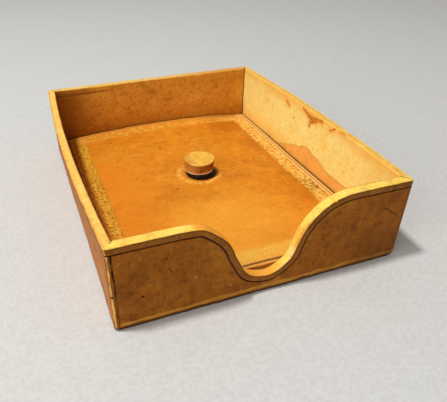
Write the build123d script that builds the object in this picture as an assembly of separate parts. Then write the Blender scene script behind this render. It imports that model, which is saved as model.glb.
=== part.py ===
"""Leather-covered filing tray with a finger dip in its front wall and a loose press board.

All sizes are in millimetres. X runs along the front wall, the front wall faces -Y, and the tray
stands on z = 0 with its centre over the origin. Each leather, board, pin and knob part is its own
solid, and leathers lie face to face on the boards that carry them.
"""

from build123d import *
from math import cos, radians, sin, sqrt
import os

# Outside of the tray
tray_width = 220.0
tray_depth = 275.0
tray_height = 67.5
side_bow = 5.2  # how far the rim of each side wall has bowed out at mid-length

# Boards of the carcass
side_board = 4.4
end_board = 6.0
base_board_height = 7.9

# Leathers on the carcass
outer_leather = 1.1
lining_leather = 0.9
floor_leather = 1.0
rim_band = 4.8  # how far the lining comes down the outside of the walls
tooled_line = 0.9  # open line between the turned-over lining and the outer leather
corner_lap = 3.0  # how far the side leathers reach round onto the front and back
seam_gap = 0.3
bottom_turn_in = 12.0

# Rounded edges of the leather
corner_round = 2.6
rim_round = 0.8
foot_round = 2.0

# Finger dip in the front wall
dip_centre = -2.0
dip_sill = 3.7  # height of the lowest point of the dip above the tray's floor
dip_bottom_radius = 20.0
dip_shoulder_radius = 43.0
dip_flank_angle = 70.9

# Panel pins that hold the carcass together
pin_radius = 0.7
pin_length = 18.0
pin_head_radius = 1.2
pin_head_height = 0.8
corner_pin_margin = 13.0  # from the base board and the rim to the nearest corner pin
corner_pins_per_edge = 3
side_pin_sink = 0.2  # how far the side pins are driven below the face of the leaning boards
end_base_pin_span = 150.0
side_base_pin_span = 190.0
base_pins_per_edge = 3

# Press board
press_side_clearance = 1.0
press_end_clearance = 2.0
press_rest_gap = 0.3
press_core_height = 3.0
press_top_leather = 0.8
press_under_leather = 0.6
press_front_arch = 1.2  # rise of the board's middle over its side edges, at the front edge
press_back_arch = 5.8  # the same at the back edge
press_edge_round = 0.6

# Knob on the press board
knob_x = 2.9
knob_y = 8.8
knob_top_radius = 14.0
knob_top_leather_height = 2.0
knob_top_round = 0.8
knob_side_height = 8.3
knob_upper_radius = 13.7
knob_lower_radius = 13.1
knob_side_leather_depth = 0.9
knob_neck_height = 4.6
knob_neck_radius = 10.0
knob_neck_waist = 0.8
screw_radius = 2.0
screw_head_radius = 4.0
screw_head_height = 2.0
screw_recess = 0.3
screw_grip = 6.0  # how far the screw runs into the knob
screw_slot_width = 0.9
screw_slot_depth = 0.8

# Sizes that follow from the ones above
half_width = tray_width / 2
half_depth = tray_depth / 2
side_wall = outer_leather + side_board + lining_leather
end_wall = outer_leather + end_board + lining_leather
base_board_top = outer_leather + base_board_height
floor_top = base_board_top + floor_leather
board_top = tray_height - lining_leather
dip_bottom = floor_top + dip_sill
press_half_width = half_width - side_wall - press_side_clearance
press_half_length = half_depth - end_wall - press_end_clearance
press_underside = floor_top + press_rest_gap
press_core_low = press_under_leather
press_core_high = press_core_low + press_core_height
press_total = press_core_high + press_top_leather

# How far cutting solids run past what they cut
overrun = 5.0

# The dip's outline stays at least this far from the tray's inner corners
corner_clear = 8.0


def slab(low, high):
    """Everything between two heights, over the whole plan of the tray."""
    width = tray_width + 2 * side_bow + 2 * overrun
    depth = tray_depth + 2 * overrun
    middle = (low + high) / 2
    return Pos(0, 0, middle) * Box(width, depth, high - low)


def bow_at(y):
    """How far the rim of a side wall bows out at depth y."""
    radius = (half_depth**2 + side_bow**2) / (2 * side_bow)
    return sqrt(radius**2 - y**2) - (radius - side_bow)


def envelope(side_inset, end_inset):
    """Full-height block within the walls' outer faces, drawn in by an inset on each side and end.

    The foot is a rectangle. The rim's two long sides are arcs, because the side walls have bowed
    outward at the top.
    """
    x = half_width - side_inset
    y = half_depth - end_inset
    rim_x = x + bow_at(y)
    mid_x = x + side_bow
    top = tray_height
    foot = Wire.make_polygon([(-x, -y, 0), (x, -y, 0), (x, y, 0), (-x, y, 0)])
    rim = Wire(
        [
            Edge.make_line((-rim_x, -y, top), (rim_x, -y, top)),
            Edge.make_three_point_arc((rim_x, -y, top), (mid_x, 0, top), (rim_x, y, top)),
            Edge.make_line((rim_x, y, top), (-rim_x, y, top)),
            Edge.make_three_point_arc((-rim_x, y, top), (-mid_x, 0, top), (-rim_x, -y, top)),
        ]
    )
    return Solid.make_loft([foot, rim], ruled=True)


def dip_outline(drop):
    """Edges of the finger dip's S-shaped outline, on a line that runs drop below the rim.

    A bottom arc, two straight flanks and two shoulder arcs follow each other tangentially.
    """
    flank = radians(dip_flank_angle)
    both_radii = dip_bottom_radius + dip_shoulder_radius
    rise = tray_height - dip_bottom
    straight = (rise - both_radii * (1 - cos(flank))) / sin(flank)
    half = both_radii * sin(flank) + straight * cos(flank)
    lower = dip_bottom_radius + drop
    upper = dip_shoulder_radius - drop
    lower_z = dip_bottom + dip_bottom_radius
    upper_z = tray_height - dip_shoulder_radius

    def at(side, x, z):
        return (dip_centre + side * x, 0, z)

    edges = []
    for side in (-1, 1):
        foot = at(side, lower * sin(flank), lower_z - lower * cos(flank))
        head = at(side, half - upper * sin(flank), upper_z + upper * cos(flank))
        bend = at(side, half - upper * sin(flank / 2), upper_z + upper * cos(flank / 2))
        rim = at(side, half, tray_height - drop)
        edges.append(Edge.make_line(foot, head))
        edges.append(Edge.make_three_point_arc(head, bend, rim))
    left_foot = at(-1, lower * sin(flank), lower_z - lower * cos(flank))
    right_foot = at(1, lower * sin(flank), lower_z - lower * cos(flank))
    edges.append(Edge.make_three_point_arc(left_foot, at(1, 0, dip_bottom - drop), right_foot))
    left_rim = at(-1, half, tray_height - drop)
    right_rim = at(1, half, tray_height - drop)
    return edges, left_rim, right_rim


def dip(drop):
    """Solid of the finger dip's opening through the front wall, drop larger all round."""
    edges, left_rim, right_rim = dip_outline(drop)
    ceiling = tray_height + overrun
    left_top = (left_rim[0], 0, ceiling)
    right_top = (right_rim[0], 0, ceiling)
    edges.append(Edge.make_line(right_rim, right_top))
    edges.append(Edge.make_line(right_top, left_top))
    edges.append(Edge.make_line(left_top, left_rim))
    face = Face(Wire(edges))
    length = end_wall + 2 * overrun
    shift = -half_depth - overrun if face.normal_at().Y > 0 else -half_depth + end_wall + overrun
    return Pos(0, shift, 0) * extrude(face, length)


def below_rim(drop):
    """Everything lower than a line that runs drop below the rim, along the finger dip too."""
    return slab(-overrun, tray_height - drop) - dip(drop)


def on_corner(edge):
    """True for the four upright outer corners."""
    middle = edge.position_at(0.5)
    return abs(abs(middle.X) - half_width) < 0.01 and abs(abs(middle.Y) - half_depth) < 0.01


def on_rim(edge):
    """True for the long edges of the rim, inside and out, and those of the finger dip."""
    middle = edge.position_at(0.5)
    across_dip = abs(middle.Y + half_depth - end_wall / 2) < 0.01
    along_top = abs(middle.Z - tray_height) < 0.01
    outer_face = abs(middle.Y + half_depth) < 0.01
    inner_face = abs(middle.Y + half_depth - end_wall) < 0.01
    beside_corner = abs(middle.X) > half_width - side_wall - corner_clear
    in_dip = middle.Z > floor_top + dip_sill / 2 and not beside_corner
    return not across_dip and (along_top or ((outer_face or inner_face) and in_dip))


def on_foot(edge):
    """True for the edges round the tray's foot."""
    return abs(edge.position_at(0.5).Z) < 0.01


def tray_shape():
    """The outside, inside, rim and dip of the finished tray as one shape, edges rounded."""
    cavity = envelope(side_wall, end_wall) & slab(floor_top, tray_height + overrun)
    shape = (envelope(0, 0) - dip(0) - cavity).solid()
    shape = fillet(shape.edges().filter_by(on_corner), corner_round).solid()
    shape = fillet(shape.edges().filter_by(on_foot), foot_round).solid()
    return fillet(shape.edges().filter_by(on_rim), rim_round).solid()


def end_zone(sign, depth):
    """Everything within a depth of the front face (sign -1) or the back face (sign 1)."""
    y = sign * (half_depth + overrun / 2 - depth / 2)
    width = tray_width + 2 * side_bow + 2 * overrun
    height = tray_height + 2 * overrun
    return Pos(0, y, tray_height / 2) * Box(width, depth + overrun, height)


def side_zone(sign):
    """Everything left (sign -1) or right (sign 1) of the tray's middle plane."""
    width = half_width + side_bow + overrun
    height = tray_height + 2 * overrun
    return Pos(sign * width / 2, 0, tray_height / 2) * Box(width, tray_depth + 4 * overrun, height)


def mitre_zone(sign):
    """Plan wedge of the front (sign -1) or back (sign 1) wall, cut along the corner mitres."""
    reach = overrun
    slope = side_wall / end_wall
    outer = sign * (half_depth + reach)
    inner = sign * (half_depth - end_wall - reach)
    wide = half_width + slope * reach
    narrow = half_width - side_wall - slope * reach
    plan = Wire.make_polygon(
        [(-wide, outer, 0), (wide, outer, 0), (narrow, inner, 0), (-narrow, inner, 0)]
    )
    solid = extrude(Face(plan), tray_height + 2 * overrun, dir=(0, 0, 1))
    return Pos(0, 0, -overrun) * solid


def spread(count, span):
    """Places of a number of things spread evenly over a span about zero."""
    return [span * (i / (count - 1) - 0.5) for i in range(count)]


def pin():
    """Panel pin along +Y, with the top of its head at the origin."""
    head = Cylinder(pin_head_radius, pin_head_height, align=(Align.CENTER, Align.CENTER, Align.MIN))
    shank = Cylinder(pin_radius, pin_length, align=(Align.CENTER, Align.CENTER, Align.MIN))
    return Rot(-90, 0, 0) * (head + shank)


def corner_pins():
    """Pins through the front and back boards into the ends of the side boards."""
    low = base_board_top + corner_pin_margin
    high = board_top - corner_pin_margin
    pins = []
    for x_sign in (-1, 1):
        x = x_sign * (half_width - outer_leather - side_board / 2)
        for z_shift in spread(corner_pins_per_edge, high - low):
            z = (low + high) / 2 + z_shift
            pins.append((Pos(x, outer_leather - half_depth, z) * pin()).solid())
            pins.append((Pos(x, half_depth - outer_leather, z) * Rot(0, 0, 180) * pin()).solid())
    return pins


def base_pins():
    """Pins through the foot of each wall board into the edges of the base board."""
    z = outer_leather + base_board_height / 2
    pins = []
    for x in spread(base_pins_per_edge, end_base_pin_span):
        pins.append((Pos(x, outer_leather - half_depth, z) * pin()).solid())
        pins.append((Pos(x, half_depth - outer_leather, z) * Rot(0, 0, 180) * pin()).solid())
    for y in spread(base_pins_per_edge, side_base_pin_span):
        # The side walls lean out with the bow, so their outer face at this height is further out.
        x = half_width - outer_leather + bow_at(y) * z / tray_height - side_pin_sink
        pins.append((Pos(-x, y, z) * Rot(0, 0, -90) * pin()).solid())
        pins.append((Pos(x, y, z) * Rot(0, 0, 90) * pin()).solid())
    return pins


def carcass():
    """The carcass nodes, with boards bored for their pins, and the five boards as unbored solids."""
    outer = envelope(outer_leather, outer_leather)
    inner = envelope(outer_leather + side_board, outer_leather + end_board)
    wall_region = slab(outer_leather, board_top) - dip(lining_leather)
    walls = (outer - inner) & wall_region
    end_depth = outer_leather + end_board
    corner = corner_pins()
    base = base_pins()
    sides = walls - end_zone(-1, end_depth) - end_zone(1, end_depth)
    boards = {
        "base_board": inner & slab(outer_leather, base_board_top),
        "front_board": walls & end_zone(-1, end_depth),
        "back_board": walls & end_zone(1, end_depth),
        "left_board": sides & side_zone(-1),
        "right_board": sides & side_zone(1),
    }
    nodes = {name: board - corner - base for name, board in boards.items()}
    nodes["corner_pins"] = corner
    nodes["base_pins"] = base
    return nodes, list(boards.values())


def tray_leathers(boards):
    """The outer leathers, the linings, the floor lining and the underside covering."""
    skins = tray_shape() - boards
    within = envelope(outer_leather, outer_leather)
    core_zone = within & slab(outer_leather, tray_height)
    underneath = slab(-overrun, outer_leather)
    turn_x = tray_width - 2 * bottom_turn_in
    turn_y = tray_depth - 2 * bottom_turn_in
    pocket = Box(turn_x, turn_y, 2 * outer_leather)

    below_band = skins & below_rim(rim_band)
    outer = below_band - core_zone - pocket
    lap_x = tray_width - 2 * corner_lap
    height = 2 * (tray_height + overrun)
    lapped = Box(lap_x, tray_depth + 2 * overrun, height)
    unlapped = Box(lap_x - 2 * seam_gap, tray_depth + 2 * overrun, height)
    nodes = {}
    ends = []
    for name, sign in (("front", -1), ("back", 1)):
        zone = end_zone(sign, bottom_turn_in)
        ends.append(zone & lapped)
        nodes[name + "_outer_leather"] = outer & zone & unlapped & below_rim(rim_band + tooled_line)
    sides = (outer - ends) & below_rim(rim_band + tooled_line)
    nodes["left_outer_leather"] = sides & side_zone(-1)
    nodes["right_outer_leather"] = sides & side_zone(1)

    nodes["underside_covering"] = skins & pocket & underneath
    basin = envelope(side_wall, end_wall) & slab(base_board_top, floor_top)
    nodes["floor_lining"] = skins & basin

    outside_band = below_rim(rim_band) - core_zone
    linings = skins - outside_band - basin
    nodes["front_lining"] = linings & mitre_zone(-1)
    nodes["back_lining"] = linings & mitre_zone(1)
    sides = linings - mitre_zone(-1) - mitre_zone(1)
    nodes["left_lining"] = sides & side_zone(-1)
    nodes["right_lining"] = sides & side_zone(1)
    return nodes


def arch_at(x, y):
    """Rise of the press board over its side edges, at a place in its plan."""
    along = (y + press_half_length) / (2 * press_half_length)
    rises = []
    for arch in (press_front_arch, press_back_arch):
        radius = (press_half_width**2 + arch**2) / (2 * arch)
        rises.append(sqrt(radius**2 - x**2) - (radius - arch))
    return rises[0] + (rises[1] - rises[0]) * along


def press_layer(low, high):
    """Layer of the press board's full plan between two heights over its underside."""
    w = press_half_width

    def section(y, arch):
        base = press_underside
        return Wire(
            [
                Edge.make_three_point_arc(
                    (-w, y, base + low), (0, y, base + low + arch), (w, y, base + low)
                ),
                Edge.make_line((w, y, base + low), (w, y, base + high)),
                Edge.make_three_point_arc(
                    (w, y, base + high), (0, y, base + high + arch), (-w, y, base + high)
                ),
                Edge.make_line((-w, y, base + high), (-w, y, base + low)),
            ]
        )

    front = section(-press_half_length, press_front_arch)
    back = section(press_half_length, press_back_arch)
    return Solid.make_loft([front, back], ruled=True)


def on_press_top(edge):
    """True for the outer edges of the press board's upper face."""
    middle = edge.position_at(0.5)
    at_side = abs(abs(middle.X) - press_half_width) < 0.01
    at_end = abs(abs(middle.Y) - press_half_length) < 0.01
    height = press_underside + press_core_high + arch_at(middle.X, middle.Y)
    return (at_side != at_end) and middle.Z > height + press_top_leather / 2


def press_board():
    """Press board with its leathers, its knob and the screw that holds the knob."""
    seat = press_underside + press_total + arch_at(knob_x, knob_y)
    core_bottom = press_underside + press_core_low + arch_at(knob_x, knob_y)
    head_bottom = core_bottom + screw_recess
    knob_bottom = seat + knob_neck_height
    side_top = knob_bottom + knob_side_height
    centre = Pos(knob_x, knob_y, 0)

    tip = knob_bottom + screw_grip
    screw_profile = Polyline(
        (0, 0, head_bottom),
        (screw_head_radius, 0, head_bottom),
        (screw_radius, 0, head_bottom + screw_head_height),
        (screw_radius, 0, tip - screw_radius),
        (0, 0, tip),
        close=True,
    )
    screw_blank = centre * revolve(make_face(screw_profile), Axis.Z)
    slot_z = head_bottom + screw_slot_depth / 2
    slot = Box(2 * screw_head_radius, screw_slot_width, screw_slot_depth)
    access = Cylinder(screw_head_radius, 2 * screw_recess)

    core_plan = Box(
        2 * (press_half_width - press_top_leather),
        2 * (press_half_length - press_top_leather),
        2 * tray_height,
    )
    core = press_layer(press_core_low, press_core_high) & core_plan
    top = press_layer(press_core_low, press_total) - core
    top = fillet(top.edges().filter_by(on_press_top), press_edge_round)
    under = press_layer(0, press_core_low)

    neck_edge = ThreePointArc(
        (knob_neck_radius, 0, knob_bottom),
        (knob_neck_radius - knob_neck_waist, 0, knob_bottom - knob_neck_height / 2),
        (knob_neck_radius, 0, knob_bottom - knob_neck_height),
    )
    foot = seat - press_top_leather / 2
    neck_sides = Polyline(
        (knob_neck_radius, 0, seat), (knob_neck_radius, 0, foot), (0, 0, foot),
        (0, 0, knob_bottom), (knob_neck_radius, 0, knob_bottom),
    )
    neck = centre * revolve(make_face([neck_edge, *neck_sides.edges()]), Axis.Z)
    neck = neck - press_layer(press_core_low, press_total)

    core_upper = knob_upper_radius - knob_side_leather_depth
    core_lower = knob_lower_radius - knob_side_leather_depth
    bottom_up = (Align.CENTER, Align.CENTER, Align.MIN)
    at_bottom = Pos(knob_x, knob_y, knob_bottom)
    knob_core = at_bottom * Cone(core_lower, core_upper, knob_side_height, align=bottom_up)
    drum = at_bottom * Cone(
        knob_lower_radius, knob_upper_radius, knob_side_height, align=bottom_up
    )
    cap = Pos(knob_x, knob_y, side_top) * Cylinder(
        knob_top_radius, knob_top_leather_height, align=bottom_up
    )
    cap = fillet(cap.edges().filter_by(GeomType.CIRCLE), knob_top_round)

    return {
        "press_board_core": core - screw_blank - centre * Pos(0, 0, core_bottom) * access,
        "press_board_top_leather": top - screw_blank,
        "press_board_under_leather": under,
        "knob_neck": neck - screw_blank,
        "knob_core": knob_core - screw_blank,
        "knob_side_leather": drum - knob_core,
        "knob_top_leather": cap,
        "knob_screw": screw_blank - centre * Pos(0, 0, slot_z) * slot,
    }


def write(name, shape):
    """Write one node, as a single solid or as a group of separate solids."""
    solids = shape if isinstance(shape, list) else shape.solids()
    body = solids[0] if len(solids) == 1 else Compound(children=list(solids))
    export_step(body, f"parts/{name}.step")
    print(name, len(solids), round(sum(solid.volume for solid in solids), 1))


os.makedirs("parts", exist_ok=True)
nodes, unbored_boards = carcass()
nodes.update(tray_leathers(unbored_boards))
nodes.update(press_board())
for node, shape in nodes.items():
    write(node, shape)
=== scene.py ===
"""Looks of a leather-covered filing tray with a loose press board, built around its CAD frame.

Every object is in metres, in the CAD frame: X along the front wall, the front wall faces -Y, and
the tray stands on z = 0. The materials work in millimetres of that frame, so a mark is placed
where the real leather has it.
"""

from functools import reduce
from math import cos, exp, pi, radians, sin

import bmesh
import bpy
from mathutils import Matrix, Vector, noise


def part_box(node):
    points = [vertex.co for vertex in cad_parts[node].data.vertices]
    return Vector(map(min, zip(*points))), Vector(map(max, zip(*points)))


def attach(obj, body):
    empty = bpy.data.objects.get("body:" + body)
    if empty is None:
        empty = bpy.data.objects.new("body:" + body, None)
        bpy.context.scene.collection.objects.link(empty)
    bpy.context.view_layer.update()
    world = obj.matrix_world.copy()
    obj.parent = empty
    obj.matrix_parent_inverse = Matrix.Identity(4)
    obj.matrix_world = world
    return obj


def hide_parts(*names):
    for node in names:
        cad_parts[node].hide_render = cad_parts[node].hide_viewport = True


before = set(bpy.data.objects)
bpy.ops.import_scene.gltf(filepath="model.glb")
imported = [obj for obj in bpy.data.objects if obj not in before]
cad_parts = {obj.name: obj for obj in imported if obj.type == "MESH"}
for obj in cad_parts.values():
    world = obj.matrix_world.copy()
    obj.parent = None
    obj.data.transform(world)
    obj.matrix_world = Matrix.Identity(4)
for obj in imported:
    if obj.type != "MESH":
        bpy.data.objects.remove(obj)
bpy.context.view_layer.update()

MM = 0.001

# Sizes of the tray, in millimetres, all but one read from the CAD frame
SPAN_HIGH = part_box("right_outer_leather")[1]
HALF_DEPTH = SPAN_HIGH.y / MM
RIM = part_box("left_lining")[1].z / MM
HALF_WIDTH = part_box("back_lining")[1].x / MM
SIDE_BOW = SPAN_HIGH.x / MM - HALF_WIDTH
END_WALL = (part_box("front_lining")[1].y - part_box("front_lining")[0].y) / MM
SIDE_WALL = 6.4
PRESS_HALF_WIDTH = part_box("press_board_top_leather")[1].x / MM
PRESS_HALF_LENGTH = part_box("press_board_top_leather")[1].y / MM
KNOB_CENTRE = (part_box("knob_top_leather")[0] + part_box("knob_top_leather")[1]) / 2 / MM
KNOB_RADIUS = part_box("knob_top_leather")[1].x / MM - KNOB_CENTRE.x
KNOB_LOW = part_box("knob_side_leather")[0].z / MM

# The lining's band outside the walls, the open tooled line under it, and the finger dip
TOOLED_LINE = 0.9
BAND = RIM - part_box("back_outer_leather")[1].z / MM - TOOLED_LINE
DIP_CENTRE = -2.0
DIP_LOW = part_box("front_lining")[0].z / MM + BAND
DIP_BOTTOM_RADIUS = 20.0
DIP_SHOULDER_RADIUS = 43.0
DIP_FLANK_ANGLE = 70.9

# The dip was cut by hand. Where its outline strays from the drawn curve: a place (x, z) on the
# front wall, the shift in x and z there, and how far about that place it reaches
DIP_STRAYS = (
    ((-50.0, 60.5), (0.5, 1.6), 6.5),
    ((-28.5, 38.0), (-1.6, -0.3), 9.5),
    ((-8.0, 9.0), (0.0, 1.0), 10.0),
    ((12.0, 13.0), (-0.9, 1.1), 8.5),
)

# Camera, from the photograph's perspective
CAMERA_AZIMUTH = -21.626
CAMERA_ELEVATION = 34.98
CAMERA_ROLL = 0.325
CAMERA_TARGET = (-25.007, -79.979, 30.0)
CAMERA_DISTANCE = 359.146
FOCAL_PIXELS = 476.729
PRINCIPAL_POINT = (205.984, 219.351)
IMAGE_SIZE = (447, 402)


def colour(text):
    """Linear colour of an sRGB hex string."""
    channels = [int(text[i : i + 2], 16) / 255 for i in (0, 2, 4)]
    linear = [c / 12.92 if c <= 0.04045 else ((c + 0.055) / 1.055) ** 2.4 for c in channels]
    return (*linear, 1.0)


def tones(*texts):
    """A surface's colours: base, dark and, for most, light."""
    return tuple(colour(text) for text in texts)


class Field:
    """A number that varies over a surface: one output of a material's node graph."""

    def __init__(self, graph, socket):
        self.graph = graph
        self.socket = socket

    def __add__(self, other):
        return self.graph.math("ADD", self, other)

    def __sub__(self, other):
        return self.graph.math("SUBTRACT", self, other)

    def __rsub__(self, other):
        return self.graph.math("SUBTRACT", other, self)

    def __mul__(self, other):
        return self.graph.math("MULTIPLY", self, other)

    def __truediv__(self, other):
        return self.graph.math("DIVIDE", self, other)

    def __abs__(self):
        return self.graph.math("ABSOLUTE", self)

    __radd__ = __add__
    __rmul__ = __mul__


class Graph:
    """A material's node graph, with short calls for the nodes that leather, wood and gilt need."""

    def __init__(self, name):
        self.material = bpy.data.materials.new(name)
        self.material.use_nodes = True
        self.tree = self.material.node_tree
        self.tree.nodes.clear()
        coordinates = self.add("ShaderNodeTexCoord")
        self.place = self.vector("SCALE", coordinates.outputs["Object"], scale=1 / MM)
        split = self.add("ShaderNodeSeparateXYZ")
        self.join(self.place, split.inputs[0])
        self.x, self.y, self.z = (Field(self, socket) for socket in split.outputs)

    def add(self, kind, **settings):
        """New node of a kind, with its settings."""
        node = self.tree.nodes.new(kind)
        for name, value in settings.items():
            setattr(node, name, value)
        return node

    def join(self, value, socket):
        """Feed a field, a socket or a plain number to an input."""
        if isinstance(value, Field):
            value = value.socket
        if isinstance(value, bpy.types.NodeSocket):
            self.tree.links.new(value, socket)
        else:
            socket.default_value = value

    def math(self, operation, *values):
        """Field that an operation makes of fields or numbers."""
        node = self.add("ShaderNodeMath", operation=operation)
        for value, socket in zip(values, node.inputs):
            self.join(value, socket)
        return Field(self, node.outputs[0])

    def vector(self, operation, *values, scale=None):
        """Vector that an operation makes of vectors."""
        node = self.add("ShaderNodeVectorMath", operation=operation)
        for value, socket in zip(values, node.inputs):
            self.join(value, socket)
        if scale is not None:
            node.inputs["Scale"].default_value = scale
        return node.outputs[0]

    def lowest(self, *fields):
        """The lowest of some fields or numbers at each place."""
        return reduce(lambda one, other: self.math("MINIMUM", one, other), fields)

    def highest(self, *fields):
        """The highest of some fields or numbers at each place."""
        return reduce(lambda one, other: self.math("MAXIMUM", one, other), fields)

    def rise(self, value, start, end):
        """0 before start, 1 past end, smooth between. It falls where end is the lower one."""
        node = self.add("ShaderNodeMapRange", interpolation_type="SMOOTHSTEP")
        self.join(value, node.inputs["Value"])
        self.join(start, node.inputs["From Min"])
        self.join(end, node.inputs["From Max"])
        return Field(self, node.outputs[0])

    def near(self, distance, radius, softness):
        """1 within a radius, 0 past the radius and a soft margin."""
        return self.rise(distance, radius + softness, radius)

    def warped(self, size, stretch, seed):
        """The place on the surface in units of a feature's size, moved to its own part of space."""
        scale = tuple(1 / (size * share) for share in stretch)
        scaled = self.vector("MULTIPLY", self.place, scale)
        return self.vector("ADD", scaled, (seed * 7.31, seed * 3.17, seed * 5.53))

    def noise(self, size, detail=3.0, seed=0, stretch=(1, 1, 1), roughness=0.5, distortion=0.0):
        """Cloudy value from 0 to 1, with features of about a size in millimetres."""
        node = self.add("ShaderNodeTexNoise")
        self.join(self.warped(size, stretch, seed), node.inputs["Vector"])
        node.inputs["Scale"].default_value = 1.0
        node.inputs["Detail"].default_value = detail
        node.inputs["Roughness"].default_value = roughness
        node.inputs["Distortion"].default_value = distortion
        return Field(self, node.outputs[0])

    def wander(self, size, spread, **settings):
        """Noise that strays evenly to both sides of 0, over a spread."""
        return self.noise(size, **settings) * spread - spread / 2

    def cells(self, size, seed=0, feature="F1", stretch=(1, 1, 1)):
        """Distance field of scattered cells, in units of their size, and a random value each."""
        node = self.add("ShaderNodeTexVoronoi", feature=feature)
        self.join(self.warped(size, stretch, seed), node.inputs["Vector"])
        node.inputs["Scale"].default_value = 1.0
        distance = Field(self, node.outputs["Distance"])
        if feature == "DISTANCE_TO_EDGE":
            return distance, None
        split = self.add("ShaderNodeSeparateColor")
        self.join(node.outputs["Color"], split.inputs[0])
        return distance, Field(self, split.outputs[0])

    def spots(self, spacing, radius, share, seed):
        """Scattered round spots: a share of cells a spacing apart hold one, of up to a radius."""
        distance, chance = self.cells(spacing, seed)
        size = self.rise(chance, 1 - share, 1) * (radius / spacing)
        return self.rise(distance, size + 0.02, size * 0.4)

    def point(self, u, v, centre):
        """Distance to a point, in a plane with coordinates u and v."""
        du = u - centre[0]
        dv = v - centre[1]
        return self.math("SQRT", du * du + dv * dv)

    def nearest(self, u, v, centres):
        """Distance to the nearest of some points."""
        return self.lowest(*[self.point(u, v, centre) for centre in centres])

    def stroke(self, u, v, start, end):
        """Distance to a straight stroke between two points."""
        along = (end[0] - start[0], end[1] - start[1])
        square = along[0] ** 2 + along[1] ** 2
        share = ((u - start[0]) * along[0] + (v - start[1]) * along[1]) / square
        share = self.lowest(self.highest(share, 0.0), 1.0)
        du = u - start[0] - share * along[0]
        dv = v - start[1] - share * along[1]
        return self.math("SQRT", du * du + dv * dv)

    def mix(self, below, above, factor):
        """Colour below, with the colour above laid over it by a factor."""
        node = self.add("ShaderNodeMix", data_type="RGBA", blend_type="MIX")
        self.join(factor, node.inputs[0])
        self.join(below, node.inputs[6])
        self.join(above, node.inputs[7])
        return node.outputs[2]

    def finish(self, base, height, roughness=0.5, metallic=0.0, specular=0.4, sheen=0.0):
        """Close the graph with a principled shader and a bump of a height in millimetres."""
        bump = self.add("ShaderNodeBump")
        bump.inputs["Distance"].default_value = MM
        self.join(height, bump.inputs["Height"])
        shader = self.add("ShaderNodeBsdfPrincipled")
        self.join(base, shader.inputs["Base Color"])
        self.join(roughness, shader.inputs["Roughness"])
        self.join(metallic, shader.inputs["Metallic"])
        self.join(bump.outputs["Normal"], shader.inputs["Normal"])
        shader.inputs["Specular IOR Level"].default_value = specular
        shader.inputs["Sheen Weight"].default_value = sheen
        output = self.add("ShaderNodeOutputMaterial")
        self.join(shader.outputs[0], output.inputs[0])
        return self.material


def bow(g):
    """How far a side wall's face has bowed out at a place on it."""
    along = g.y / HALF_DEPTH
    return (1 - along * along) * (g.z * (SIDE_BOW / RIM))


def wall_depth(g, wall):
    """Distance in from a wall's outer face, and the wall's thickness."""
    if wall == "front":
        return g.y + HALF_DEPTH, END_WALL
    if wall == "back":
        return HALF_DEPTH - g.y, END_WALL
    if wall == "left":
        return g.x + HALF_WIDTH + bow(g), SIDE_WALL
    return HALF_WIDTH + bow(g) - g.x, SIDE_WALL


def below_rim(g, wall):
    """How far a place on a wall's outer face is below the rim, square to the rim's outline."""
    if wall != "front":
        return RIM - g.z
    flank_sin, flank_cos = sin(radians(DIP_FLANK_ANGLE)), cos(radians(DIP_FLANK_ANGLE))
    low_arc, high_arc = DIP_BOTTOM_RADIUS, DIP_SHOULDER_RADIUS
    straight = (RIM - DIP_LOW - (low_arc + high_arc) * (1 - flank_cos)) / flank_sin
    half = (low_arc + high_arc) * flank_sin + straight * flank_cos
    foot = (low_arc * flank_sin, DIP_LOW + low_arc * (1 - flank_cos))

    x, z = g.x, g.z
    for place, shift, reach in DIP_STRAYS:
        distance = g.point(g.x - shift[0], g.z - shift[1], place) / reach
        share = g.math("EXPONENT", distance * distance * -1.0)
        x = x - share * shift[0]
        z = z - share * shift[1]
    across = abs(x - DIP_CENTRE)
    bottom = g.point(across, z, (0, DIP_LOW + low_arc)) - low_arc
    flank = (across - foot[0]) * flank_sin - (z - foot[1]) * flank_cos
    shoulder = high_arc - g.point(across, z, (half, RIM - high_arc))
    up_flank = (across - foot[0]) * flank_cos + (z - foot[1]) * flank_sin
    below = bottom + (flank - bottom) * g.math("GREATER_THAN", up_flank, 0.0)
    below = below + (shoulder - below) * g.math("GREATER_THAN", up_flank, straight)
    return below + (RIM - z - below) * g.math("GREATER_THAN", across, half)


def leather_relief(g, seed):
    """Height of fine leather in millimetres: pores, small wrinkles and a slow unevenness."""
    pores, _ = g.cells(0.55, seed)
    wrinkles, _ = g.cells(2.2, seed + 1, feature="DISTANCE_TO_EDGE", stretch=(1, 1, 1.3))
    slow = g.noise(9, seed=seed + 2)
    return pores * 0.03 + g.rise(wrinkles, 0.0, 0.12) * 0.025 + slow * 0.12


def mottle(g, base, dark, light, seed, size=26):
    """Lay clouds, patches and fine variation over a base colour."""
    clouds = g.noise(size, detail=4, seed=seed, roughness=0.6)
    patches = g.noise(size * 0.25, seed=seed + 1, roughness=0.6)
    fine = g.noise(1.5, seed=seed + 2, roughness=0.65)
    result = g.mix(base, dark, g.rise(clouds, 0.50, 0.28) * 0.55)
    result = g.mix(result, light, g.rise(clouds, 0.52, 0.74) * 0.55)
    result = g.mix(result, dark, g.rise(patches, 0.50, 0.28) * 0.45)
    result = g.mix(result, light, g.rise(patches, 0.52, 0.74) * 0.40)
    result = g.mix(result, dark, g.rise(fine, 0.48, 0.25) * 0.45)
    return g.mix(result, light, g.rise(fine, 0.54, 0.8) * 0.40)


# Linings: leather's base, dark and light tones on each wall's inner face, and its rim's gold
LINING = {
    "front": tones("e49c3e", "b06a20", "f4bb60"),
    "back": tones("e8a238", "ae6a18", "f4c054"),
    "left": tones("d89038", "a0601f", "eab368"),
    "right": tones("ffec8a", "fccc5a", "fff6a2"),
}
RIM_GOLD = {
    "front": colour("ffda60"),
    "back": colour("f0c466"),
    "left": colour("fac860"),
    "right": colour("f0b64a"),
}

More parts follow.
